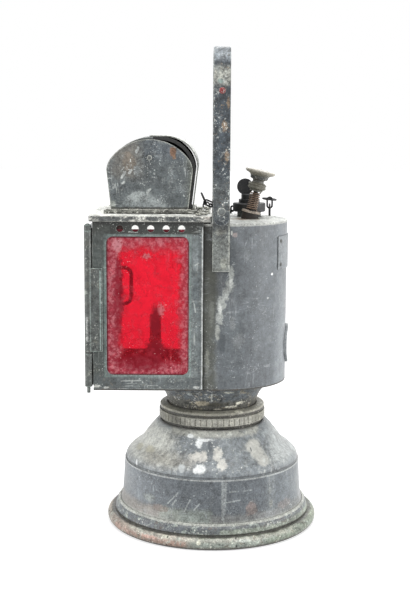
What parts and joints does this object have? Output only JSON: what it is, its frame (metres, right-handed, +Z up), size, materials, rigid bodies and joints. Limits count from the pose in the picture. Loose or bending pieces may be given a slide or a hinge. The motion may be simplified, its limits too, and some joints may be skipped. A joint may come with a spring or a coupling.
{
  "type": "railway acetylene hand lantern",
  "caption": "Old railway acetylene hand lantern: bell shaped carbide chamber, knurled union nut, glazed case with red window, round water tank with sprung valve, chimney and swinging handle",
  "frame": {"origin": "Centre of the foot rim, on the surface that the lantern stands on", "axes": "+Z up along the chamber axis, the case with its chimney towards -X, the water tank towards +X, the red window faces -Y"},
  "size_m": [0.1722, 0.16, 0.3555],
  "materials": {
    "grey_paint": "worn satin",
    "pale_paint": "worn matte",
    "olive_paint": "worn matte",
    "red_paint": "worn satin",
    "bare_iron": "dull",
    "black_iron": "dull black",
    "old_brass": "tarnished",
    "spring_wire": "rusty",
    "tin": "satin",
    "reflector_tin": "polished",
    "steatite": "ceramic, matte",
    "felt": "felt",
    "black_rubber": "matte",
    "red_glass": "clear red",
    "clear_glass": "clear"
  },
  "bodies": {
    "base": {"foot_ring": "olive_paint", "foot_wire": "bare_iron", "chamber_drum": "grey_paint", "chamber_shoulder": "grey_paint", "chamber_floor": "bare_iron", "threaded_collar": "old_brass", "carbide_pot": "tin", "union_gasket": "black_rubber"},
    "lamp": {"neck_funnel": "grey_paint", "gas_filter": "felt", "body_floor": "bare_iron", "drip_seat": "old_brass", "drip_tube": "old_brass", "gas_pipe": "old_brass", "burner_socket": "old_brass", "burner_tube": "old_brass", "burner_tip": "steatite", "case_shell": "grey_paint", "case_rear_wall": "bare_iron", "reflector": "reflector_tin", "near_glass": "red_glass", "near_glass_channel": "bare_iron", "far_glass": "clear_glass", "far_glass_channel": "bare_iron", "roof_plate": "pale_paint", "chimney_seat": "pale_paint", "chimney_near_plate": "grey_paint", "chimney_far_plate": "grey_paint", "chimney_flue": "bare_iron", "chimney_cover": "grey_paint", "chimney_rivets": "bare_iron", "hinge_leaf": "grey_paint", "hinge_pin": "bare_iron", "tank_shell": "grey_paint", "tank_top": "pale_paint", "back_plate": "grey_paint", "back_plate_rivets": "bare_iron", "round_plaque": "grey_paint", "handle_brackets": "grey_paint", "handle_rivets": "bare_iron", "valve_boss": "old_brass", "gland_nut": "old_brass", "valve_spring": "spring_wire", "filler_neck": "bare_iron", "chain_and_rings": "black_iron"},
    "union_nut": {"union_nut": "old_brass"},
    "door": {"door_frame": "grey_paint", "door_glass": "clear_glass", "door_glass_clips": "bare_iron", "door_hinge_straps": "grey_paint", "pull_tab": "bare_iron"},
    "pull_ring": {"pull_ring": "bare_iron"},
    "handle": {"handle": "grey_paint", "handle_stud": "red_paint"},
    "valve_slider": {"spring_cup": "old_brass"},
    "valve_screw": {"valve_stem": "old_brass", "valve_collar": "old_brass", "valve_knob": "old_brass"},
    "cap": {"filler_cap": "black_iron", "cap_gasket": "black_rubber"}
  },
  "joints": [
    {"name": "lamp_lift", "type": "slide", "parent": "base", "child": "lamp", "axis": [0, 0, 1], "range_m": [0, 0.06]},
    {"name": "nut_turn", "type": "hinge", "parent": "lamp", "child": "union_nut", "pos_m": [0, 0, 0.085], "axis": [0, 0, 1], "continuous": true},
    {"name": "door_swing", "type": "hinge", "parent": "lamp", "child": "door", "pos_m": [-0.0895, -0.0495, 0.17], "axis": [0, 0, 1], "range_deg": [0, 170]},
    {"name": "pull_swing", "type": "hinge", "parent": "door", "child": "pull_ring", "pos_m": [-0.0747, 0.05325, 0.1725], "axis": [0, 0, 1], "range_deg": [0, 150]},
    {"name": "handle_swing", "type": "hinge", "parent": "lamp", "child": "handle", "pos_m": [0.0053, 0, 0.2405], "axis": [0, 1, 0], "range_deg": [-80, 80]},
    {"name": "valve_travel", "type": "slide", "parent": "lamp", "child": "valve_slider", "axis": [0.22, 0, 0.9755], "range_m": [0, 0.002], "deforming": ["valve_spring"]},
    {"name": "valve_turn", "type": "hinge", "parent": "valve_slider", "child": "valve_screw", "pos_m": [0.027, 0, 0.2313], "axis": [0.22, 0, 0.9755], "range_deg": [0, 720]},
    {"name": "cap_lift", "type": "slide", "parent": "lamp", "child": "cap", "axis": [0, 0, 1], "range_m": [0, 0.014]}
  ],
  "couplings": [
    {"joint": "valve_turn", "follows": "valve_travel", "rad_per_m": 6283.2}
  ]
}
